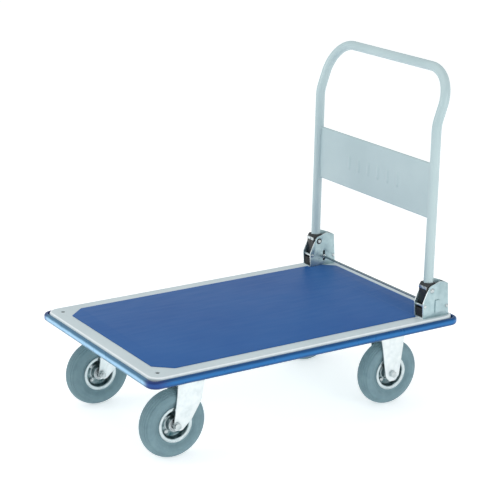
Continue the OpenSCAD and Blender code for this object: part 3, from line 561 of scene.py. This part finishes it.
def makeDeck():
    # sheet bent down round the edge: r (sin t - 1), r (cos t - 1), and the same inside with r less the sheet
    low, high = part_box("deck_panel")
    half = np.array([high.x, high.y]) / mm
    s = deckSizes
    loop, normal = roundedLoop(*half, s["cornerRadius"])
    t = np.linspace(0, pi / 2, 9)
    outer = np.stack([s["bend"] * (np.sin(t) - 1), s["bend"] * (np.cos(t) - 1)], -1)
    inner = np.stack([-s["bend"] + (s["bend"] - s["sheet"]) * np.sin(t),
                      -s["bend"] + (s["bend"] - s["sheet"]) * np.cos(t)], -1)
    skirt = (low.z - high.z) / mm
    wall, edge = s["sheet"], s["edge"]
    profile = np.vstack([[[-s["flat"], 0]], outer, [[0, skirt + edge], [-edge, skirt], [edge - wall, skirt],
                         [-wall, skirt + edge]], inner[::-1], [[-s["flat"], -wall]]])
    border = carried(loop, normal, profile)
    holeAt = [(side * (half[0] - s["holeSide"]), s["holeFront"] - half[1]) for side in (-1, 1)]
    # the punch draws the sheet in: lip rounded by r (1 - sin t) over a flare of r (1 - cos t)
    lip = s["holeLip"] * np.stack([np.cos(t) - 1, np.sin(t) - 1], -1)[::-1]
    bore = np.vstack([lip, [[0, -wall]]])
    holes = [carried(around, outwards(around), bore)
             for around in (circle(at, s["hole"], 32, True) for at in holeAt)]
    flats = [capOf([border[k, :, :2], *(hole[k, :, :2] for hole in holes)],
                   lambda flat, up=up: upright(flat, up)) for k, up in ((0, 0), (-1, -wall))]
    flats = [(points, faces, uv + s["mapGap"]) for points, faces, uv in flats]
    parts = [gridOf(border, wrapCols=True), *flats, *(gridOf(hole, wrapCols=True) for hole in holes)]
    makePiece("pressedDeck", inMetres(parts, high.z / mm), "deck_paint", "platform", ["deck_panel"])
    # black sleeves under the holes, dark pieces that stand in for the shade inside them: a square section carried
    # round each hole
    top, bottom = s["sleeveTop"] - wall, -s["sleeveDeep"]
    section = np.array([[0, top], [0, bottom], [s["sleeveWall"], bottom], [s["sleeveWall"], top]])
    rings = [gridOf(carried(around, outwards(around), section), True, True)
             for around in (circle(at, s["hole"] + s["sleevePlay"], 32) for at in holeAt)]
    makePiece("holeSleeves", inMetres(rings, high.z / mm), "black_nylon", "platform")


matSizes = {
    "cutAcross": 40,
    "cutAlong": 44,
    "gap": 0.5,        # round the hinge brackets
    "corner": 3,
    "edge": 0.9,
}


def makeMat():
    # outline of one side from front to back, then its mirror, as a sheet with rounded edges
    low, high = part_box("deck_mat")
    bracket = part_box("bracket_right")[0]
    s = matSizes
    x, front, back = high.x / mm, low.y / mm, high.y / mm
    notchX, notchY = bracket.x / mm - s["gap"], bracket.y / mm - s["gap"]
    slope = s["cutAlong"] / s["cutAcross"]
    right = np.array([[x - s["cutAcross"], front], [x, front + s["cutAlong"]], [x, notchY], [notchX, notchY],
                      [notchX, back - s["cutAlong"] + (x - notchX) * slope], [x - s["cutAcross"], back]])
    outline = roundCorners(np.vstack([right, right[::-1] * [-1, 1]]), s["corner"], 8)
    parts = plate(outline, [], 0, (high.z - low.z) / mm, s["edge"], upright)
    makePiece("deckMat", inMetres(parts, low.z / mm), "mat_pvc", "platform", ["deck_mat"])


bumperSizes = {
    "innerCorner": 18, # tighter than the deck's corner, so a dark gap is left there
    "shoulder": 6.5,   # rounding of the outer face
    "out": 10,
    "lip": 3,
    "lipIn": 7,
    "edge": 0.4,
}


def makeBumper():
    # profile: lip, quarter circle out and up, face, quarter circle in, then down the deck's edge
    low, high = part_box("bumper")
    s = bumperSizes
    half = np.array([high.x, high.y]) / mm - s["out"]
    loop, normal = roundedLoop(*half, s["innerCorner"])
    tall = (high.z - low.z) / mm
    t = np.linspace(0, pi / 2, 9)
    r, out, edge = s["shoulder"], s["out"], s["edge"]
    lower = np.stack([out - r + r * np.sin(t), r - r * np.cos(t)], -1)
    upper = np.stack([out - r + r * np.cos(t), tall - r + r * np.sin(t)], -1)
    profile = np.vstack([[[-s["lipIn"], 0]], lower, upper, [[edge, tall], [0, tall - edge], [0, s["lip"]],
                         [-s["lipIn"], s["lip"]]]])
    ring = gridOf(carried(loop, normal, profile), wrapRows=True, wrapCols=True)
    makePiece("edgeBumper", inMetres([ring], low.z / mm), "bumper_pvc", "platform", ["bumper"])


makeDeck()
makeMat()
makeBumper()
print("deck, mat and bumper made")


# handle

handleSizes = {
    "x": 263.5,        # leg centre from the middle
    "tube": 25.4,
    "lean": 1.45,
    "foot": -22,       # tube's end below the pivot
    "bendStart": 418,  # above the pivot, along the leg
    "bendRadius": 100,
    "bendAngle": 18.5,
    "cornerRadius": 90,
}


def leaned(points):
    # from the handle's own frame, on the pivot axis with Z up the legs, to the cart's frame, in metres
    a = radians(handleSizes["lean"])
    x, y, z = np.moveaxis(np.asarray(points, float), -1, 0)
    turnedPoints = np.stack([x, y * cos(a) + z * sin(a), z * cos(a) - y * sin(a)], -1)
    return turnedPoints * mm + np.array(jointAt["handle_fold"])


def handlePath():
    # leg, arc of the bend r (1 - cos b), r sin b, then a hoop quarter c (1 - cos h), c sin h, and its mirror
    s = handleSizes
    bend, lean = radians(s["bendAngle"]), radians(s["lean"])
    radius, corner = s["bendRadius"], s["cornerRadius"]
    top = (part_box("handle_tube")[1].z - jointAt["handle_fold"].z) / mm - s["tube"] / 2
    run = (top + radius * (1 - cos(bend)) * sin(lean)
           - (s["bendStart"] + radius * sin(bend)) * cos(lean)) / cos(bend + lean)
    b = np.linspace(0, bend, 14)
    h = np.linspace(0, pi / 2, 28)
    legZ = np.linspace(s["foot"], s["bendStart"], 12)[:-1]
    leg = np.stack([0 * legZ, 0 * legZ, legZ], -1)
    curve = np.stack([0 * b, radius * (1 - np.cos(b)), s["bendStart"] + radius * np.sin(b)], -1)
    way = np.array([0, sin(bend), cos(bend)])
    hoop = np.stack([-corner * (1 - np.cos(h)), *((run - corner + corner * np.sin(h)) * way[1:, None])], -1)
    half = np.vstack([leg, curve, hoop + curve[-1]]) + [s["x"], 0, 0]
    return np.vstack([half, half[::-1] * [-1, 1, 1]])


def makeHandleTube():
    s = handleSizes
    path = leaned(handlePath())
    tube = swept(path, s["tube"] / 2 * mm, 40, (0, 1, 0.0001))
    makePiece("handleTube", [tube], "handle_paint", "handle", ["handle_tube"], 60)


panelSizes = {
    "bottom": 186.5,   # above the pivot, along the legs
    "height": 145,
    "sheet": 1.6,
    "fold": 9,
    "lip": 8,
    "bend": 3,         # outer radius of the folds
    "foldEnd": 4,      # the folds stop short of the tubes
    "ribs": 6,         # plain upright ribs pressed out of the middle
    "ribPitch": 44,
    "ribHigh": 40,
    "ribWide": 13,
    "ribDeep": 1.5,
    "ribSlope": 3.5,
    "edge": 0.5,
    "intoTube": 0.5,   # the panel's ends reach into the tubes
    "endShare": 0.98,  # of the half width, beyond which a fold is cut back
    "cutFrom": 0.2,    # height on a fold where the cut starts
    "cutOver": 2.5,    # and over which it grows
    "rows": 58,
    "columns": 261,
}


def makePanel():
    # channel section with folded lips, carried across between the legs
    s = panelSizes
    half = handleSizes["x"] - handleSizes["tube"] / 2 + s["intoTube"]
    top, sheet, fold, lip = s["height"], s["sheet"], s["fold"], s["lip"]
    section = [[fold, lip], [fold, 0], [-sheet, 0], [-sheet, top], [fold, top], [fold, top - lip],
               [fold - sheet, top - lip], [fold - sheet, top - sheet], [0, top - sheet], [0, sheet],
               [fold - sheet, sheet], [fold - sheet, lip]]
    inner = s["bend"] - sheet
    radii = [s["edge"], *[s["bend"]] * 4, s["edge"], s["edge"], *[inner] * 4, s["edge"]]
    loop = roundCorners(section, radii, 6)
    # the two long flat stretches get rows of points, so that the ribs can be pressed into them
    between = np.linspace(0, 1, s["rows"])[1:-1, None]
    gaps = np.linalg.norm(np.roll(loop, -1, 0) - loop, axis=1)
    longOnes = np.flatnonzero(gaps > top / 2)
    filled = [loop[k] + between * (loop[(k + 1) % len(loop)] - loop[k]) for k in longOnes]
    loop = np.insert(loop, np.repeat(longOnes + 1, len(between)), np.vstack(filled), axis=0)
    x = np.linspace(-1, 1, s["columns"])[:, None] * half
    y, z = loop[None, :, 0], loop[None, :, 1]
    # rib: depth x smooth step of the distance to a round-ended bar
    centre = (np.round(x / s["ribPitch"] - 0.5) + 0.5) * s["ribPitch"]
    lastRib = (s["ribs"] - 1) / 2 * s["ribPitch"]
    centre = np.clip(centre, -lastRib, lastRib)
    reach = (s["ribHigh"] - s["ribWide"]) / 2
    away = np.hypot(x - centre, np.maximum(np.abs(z - top / 2) - reach, 0))
    rise = np.clip((s["ribWide"] / 2 - away) / s["ribSlope"], 0, 1)
    pressed = s["ribDeep"] * rise ** 2 * (3 - 2 * rise) * (y < sheet)
    shorter = np.clip((y - s["cutFrom"]) / s["cutOver"], 0, 1) * (np.abs(x) > half * s["endShare"])
    wide = x * (1 - s["foldEnd"] / half * shorter)
    surface = np.stack(np.broadcast_arrays(wide, y - pressed, z + s["bottom"]), -1)
    points, faces, uv = gridOf(surface, wrapCols=True)
    parts = [(leaned(points), faces, uv * mm)]
    for row in (surface[0], surface[-1]):
        parts.append(capOf([row[:, 1:]], lambda flat, row=row: leaned(row)))
    makePiece("handlePanel", parts, "handle_paint", "handle", ["handle_panel"])


weldSizes = {
    "long": 24,
    "radius": 2.0,
    "ripple": 2.6,     # distance between the ripples
    "inset": 12,       # from the panel's top and bottom
    "swell": 0.16,     # of the radius, at each ripple
    "proud": 0.6,      # bead's middle off the sheet
    "ends": 0.02,      # of the radius, where the bead closes
}


def makeWelds():
    # bead: radius swells with the ripples and closes at both ends, r = r0 (1 + swell |sin|) * sqrt(1 - s^4)
    s = weldSizes
    along = np.linspace(-1, 1, 64)
    ripple = 1 + s["swell"] * np.abs(np.sin(pi * along * s["long"] / 2 / s["ripple"]))
    radius = s["radius"] * mm * ripple * np.sqrt(np.clip(1 - along ** 4, s["ends"] ** 2, 1))
    x = handleSizes["x"] - handleSizes["tube"] / 2
    low = panelSizes["bottom"]
    parts = []
    for side in (-1, 1):
        for z in (low + s["inset"], low + panelSizes["height"] - s["inset"]):
            for y in (-panelSizes["sheet"] - s["proud"], s["proud"]):
                line = np.stack([side * x + 0 * along, y + 0 * along, z + along * s["long"] / 2], -1)
                parts.append(swept(leaned(line), radius, 12, (0, 1, 0)))
    makePiece("panelWelds", parts, "handle_paint", "handle")


makeHandleTube()
makePanel()
makeWelds()
print("handle made")


# wheels

tyreSizes = {
    "width": 44,
    "outer": 89,
    "groove": 1.1,
    "grooveWide": 1.9,
    "grooves": [-56, -40, -24, -8, 8, 24, 40, 56],     # degrees round the section
    "ridges": [-104, -84, 84, 104],
    "ridge": 0.35,
    "ridgeWide": 0.9,
    "beadAngle": 130,
    "bead": 17,        # half width at the rim
    "seat": 44,        # radius at which the bead is hidden in the rim
    "foot": 4,         # height of the bead's straight foot
}


def tyreProfile():
    # circle of the tyre's section, cut by round-bottomed grooves and raised by thin moulded ridges
    s = tyreSizes
    a = radians(s["beadAngle"]) * np.linspace(-1, 1, 181)
    section = s["width"] / 2
    grooves = np.radians(s["grooves"])[:, None]
    ridges = np.radians(s["ridges"])[:, None]
    inGroove = np.clip(1 - (np.abs(a - grooves) * section / (s["grooveWide"] / 2)) ** 4, 0, 1).max(0)
    onRidge = np.exp(-((a - ridges) * section / s["ridgeWide"]) ** 2).max(0)
    radius = section - s["groove"] * inGroove ** 0.5 + s["ridge"] * onRidge
    x, r = radius * np.sin(a), s["outer"] - section + radius * np.cos(a)
    arc = np.stack([x, r], -1)
    foot = np.array([[s["bead"], s["seat"] + s["foot"]], [s["bead"], s["seat"]]])
    return np.vstack([foot[::-1] * [-1, 1], arc, foot])


rimSizes = {
    "boss": 16,        # radius of the bearing seat
    "sheet": 2,
    "cup": 18,         # reach of the bearing seat from the middle
    "well": 38,
    "bead": 17,
    "flange": 46,
    "curl": 1.1,       # the flange's rolled edge
    "curlStart": 2.4,  # below the flange's top
    "curlFull": 1.6,
    "radii": [0.3, 0.9, 0.9, 3.0, 5.0, 3.4, 0.8, 0.8, 0.9, 1.6, 1.2, 0.8],     # at each corner
}


def rimProfile():
    # pressed half: bearing seat, flat web, well and flange, as a closed section (reach, radius)
    s = rimSizes
    t, boss, cup, well, flange = (s[key] for key in ("sheet", "boss", "cup", "well", "flange"))
    bead, edge = s["bead"] + t, s["bead"] + t + s["curl"]
    corners = [[0, boss], [cup, boss], [cup, boss + t], [t, boss + t], [t, well - t], [bead, well - t],
               [bead, flange - s["curlStart"]], [edge, flange - s["curlFull"]], [edge, flange],
               [s["bead"], flange], [s["bead"], well], [0, well]]
    return roundCorners(corners, s["radii"], 7)


def makeWheels():
    tyre, rim = tyreProfile() * mm, rimProfile() * mm
    for wheel in wheelNames:
        centre = jointAt[f"wheel_{wheel}_spin"]
        body = f"wheel_{wheel}"
        makePiece(camel(f"tyre_{wheel}"), [turned(tyre, centre, 1, 144)], "tyre_rubber", body,
                  [f"tyre_{wheel}"], 50)
        outer = -1 if wheel.endswith("left") else 1
        for kind, side in (("outer", outer), ("inner", -outer)):
            node = f"rim_{kind}_{wheel}"
            makePiece(camel(node), [turned(rim, centre, side)], "rim_zinc", body, [node], 30)


makeWheels()
print("wheels made")


# lock bar and springs

barSizes = {"radius": 3, "chamfer": 0.8}


def makeLockBar():
    # straight rod, whose radius drops by the chamfer at both ends
    low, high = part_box("lock_bar")
    s = barSizes
    reach, y, z = high.x, (low.y + high.y) / 2, (low.z + high.z) / 2
    ends = [0, s["chamfer"] * mm, s["chamfer"] * 3 * mm]
    x = np.array([-reach + end for end in ends] + [reach - end for end in ends[::-1]])
    radius = s["radius"] * mm - np.array([1, 0, 0, 0, 0, 1]) * s["chamfer"] * mm
    line = np.stack([x, y + 0 * x, z + 0 * x], -1)
    makePiece("lockBarRod", [swept(line, radius, 32, (0, 0, 1))], "bar_steel", "lock", ["lock_bar"], 40)


springSizes = {
    "coil": 4.9,
    "wire": 0.9,
    "turns": 4,
    "pitch": 2.2,
    "pinHead": 5,      # radius of the head of the cross pin that carries it
    "pinDrop": 1.5,    # that pin below the lock bar
    "wallLean": 3,     # forward lean of the wall that its leg stands against
    "play": 0.2,       # between the low leg and the bar
    "lowLeg": 6,       # on each side of the bar
    "highLeg": [12, 30],
}


def makeSprings():
    # helix round the rear cross pin, (p a / 2 pi, r sin a, -r cos a), a leg under the bar and one up the wall
    s = springSizes
    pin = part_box("lock_bar")
    barY = (pin[0].y + pin[1].y) / 2 / mm
    barLow = pin[0].z / mm
    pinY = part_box("cross_pins")[1].y / mm - s["pinHead"]
    pinZ = barLow + barSizes["radius"] - s["pinDrop"]
    a = np.linspace(0, 2 * pi * s["turns"] + pi / 2, 120)
    helix = np.stack([s["pitch"] * a / 2 / pi, s["coil"] * np.sin(a), -s["coil"] * np.cos(a)], -1)
    legZ = barLow - s["wire"] - s["play"] - pinZ
    lowLeg = np.array([[0, barY + reach - pinY, legZ] for reach in (-s["lowLeg"], s["lowLeg"])])
    highLeg = helix[-1] + np.array([[0, -up * tan(radians(s["wallLean"])), up] for up in s["highLeg"]])
    route = np.vstack([lowLeg, helix, highLeg])
    parts = []
    for side in (-1, 1):
        start = np.array([side * (handleSizes["x"] - s["turns"] * s["pitch"] / 2), pinY, pinZ])
        parts.append(swept((route * [side, 1, 1] + start) * mm, s["wire"] * mm, 10, (1, 0.001, 0)))
    makePiece("lockSprings", parts, "spring_steel", "platform", ["lock_springs"], 60)


makeLockBar()
makeSprings()
print("lock bar and springs made")


# pieces that keep their CAD shape, with rounded edges

bracketEdgeHighlight = {
    "above": 4,        # mm over the deck
    "ahead": 6,        # mm in front of the pivot
    "over": 8,         # or this far above it
    "sideways": 0.75,  # most that a face may point sideways
    "backwards": 0.6,
}


def paintEdgeHighlights(piece):
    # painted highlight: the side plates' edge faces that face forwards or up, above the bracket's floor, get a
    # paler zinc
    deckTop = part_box("deck_panel")[1].z
    pivot = jointAt["handle_fold"]
    mesh, e = piece.data, bracketEdgeHighlight
    normals = np.empty(len(mesh.polygons) * 3)
    centres = np.empty(len(mesh.polygons) * 3)
    mesh.polygons.foreach_get("normal", normals)
    mesh.polygons.foreach_get("center", centres)
    nx, ny = normals.reshape(-1, 3)[:, :2].T
    x, y, z = centres.reshape(-1, 3).T
    forward, top = y < pivot.y - e["ahead"] * mm, z > pivot.z + e["over"] * mm
    edge = (z > deckTop + e["above"] * mm) & (forward | top)
    edge &= (np.abs(nx) < e["sideways"]) & (ny < e["backwards"])
    mesh.materials.append(edgeHighlightZinc)
    mesh.polygons.foreach_set("material_index", edge.astype(np.int32))


edgeWidths = {
    "bracket_left": 0.7, "bracket_right": 0.7,
    "knuckle_left": 1.2, "knuckle_right": 1.2,
    "stop_blocks": 1.0, "knuckle_straps": 0.4, "knuckle_rivets": 0.5,
    "cross_pins": 0.4, "pivot_pins": 0.5, "pivot_bushes": 0.4, "lock_bar_clips": 0.2,
    "swivel_plate_left": 0.7, "swivel_plate_right": 0.7, "kingpins": 0.6,
    "swivel_fork_left": 0.9, "swivel_fork_right": 0.9, "rigid_fork_left": 0.9, "rigid_fork_right": 0.9,
    "front_channel": 0.6, "rear_channel": 0.6, "long_ribs": 0.6,
    "platform_bolts": 0.4, "platform_nuts": 0.4,
    "front_axle_left": 0.5, "front_axle_right": 0.5, "rear_axles": 0.5,
    "front_axle_nut_left": 0.5, "front_axle_nut_right": 0.5, "rear_axle_nuts": 0.5,
}
for wheel in wheelNames:
    edgeWidths[f"rim_bolts_{wheel}"] = 0.4
    edgeWidths[f"bearings_{wheel}"] = 0.4
for nodeName, width in edgeWidths.items():
    piece = softened(nodeName, width)
    if nodeName.startswith("bracket_"):
        paintEdgeHighlights(piece)
for nodeName, cadObject in frame["nodes"].items():
    cadObject.data.materials.clear()
    cadObject.data.materials.append(surfaces[slotOf[nodeName]])
print("edges rounded on", len(edgeWidths), "nodes")


# floor and light

studio = {
    "floor": 40000,
    "floorGlow": 0.46,
    "worldColour": (0.955, 0.985, 1.0, 1.0),
    "worldLow": 0.74,      # strength at the horizon
    "worldHigh": 0.62,     # and overhead
}
# name, place, aimed at, size, power
lamps = [
    ("topBox", (-0.4, -0.6, 3.2), (0, 0, 0.3), 2.4, 14),
    ("frontBox", (-1.6, -3.4, 1.9), (0, 0, 0.4), 1.8, 26),
    ("sideBox", (3.6, 0.6, 1.8), (0, 0, 0.4), 1.6, 26),
]


def makeFloor():
    reach = studio["floor"] * mm / 2
    mesh = bpy.data.meshes.new("paleFloor")
    mesh.from_pydata([(-reach, -reach, 0), (reach, -reach, 0), (reach, reach, 0), (-reach, reach, 0)], [],
                     [(0, 1, 2, 3)])
    floor = bpy.data.objects.new("paleFloor", mesh)
    bpy.context.scene.collection.objects.link(floor)
    material, tree, shader, place = startMaterial("paleStudioFloor", "#f6f7f7", 0.7)
    mottle(tree, shader, place, 900, 2, ["#f4f5f5", "#f6f7f7", "#f8f8f8"])
    shader.inputs["Emission Color"].default_value = (1.0, 1.0, 1.0, 1.0)
    shader.inputs["Emission Strength"].default_value = studio["floorGlow"]
    mesh.materials.append(material)


def makeLight():
    world = bpy.data.worlds.new("studio")
    bpy.context.scene.world = world
    world.use_nodes = True
    tree = world.node_tree
    sky = tree.nodes["Background"]
    sky.inputs["Color"].default_value = studio["worldColour"]
    direction = addNode(tree, "TexCoord").outputs["Generated"]
    height = addNode(tree, "SeparateXYZ", {}, {0: direction}).outputs["Z"]
    addNode(tree, "MapRange", {"From Min": -0.1, "From Max": 0.9, "To Min": studio["worldLow"],
                               "To Max": studio["worldHigh"]}, {"Value": height}, sky.inputs["Strength"])
    for name, at, aim, size, power in lamps:
        data = bpy.data.lights.new(name, "AREA")
        data.shape = "DISK"
        data.size = size
        data.energy = power
        lamp = bpy.data.objects.new(name, data)
        lamp.location = at
        lamp.rotation_euler = (Vector(at) - Vector(aim)).to_track_quat("Z", "Y").to_euler()
        bpy.context.scene.collection.objects.link(lamp)


makeFloor()
makeLight()
bpy.context.scene.view_settings.view_transform = "Standard"
print("studio made")
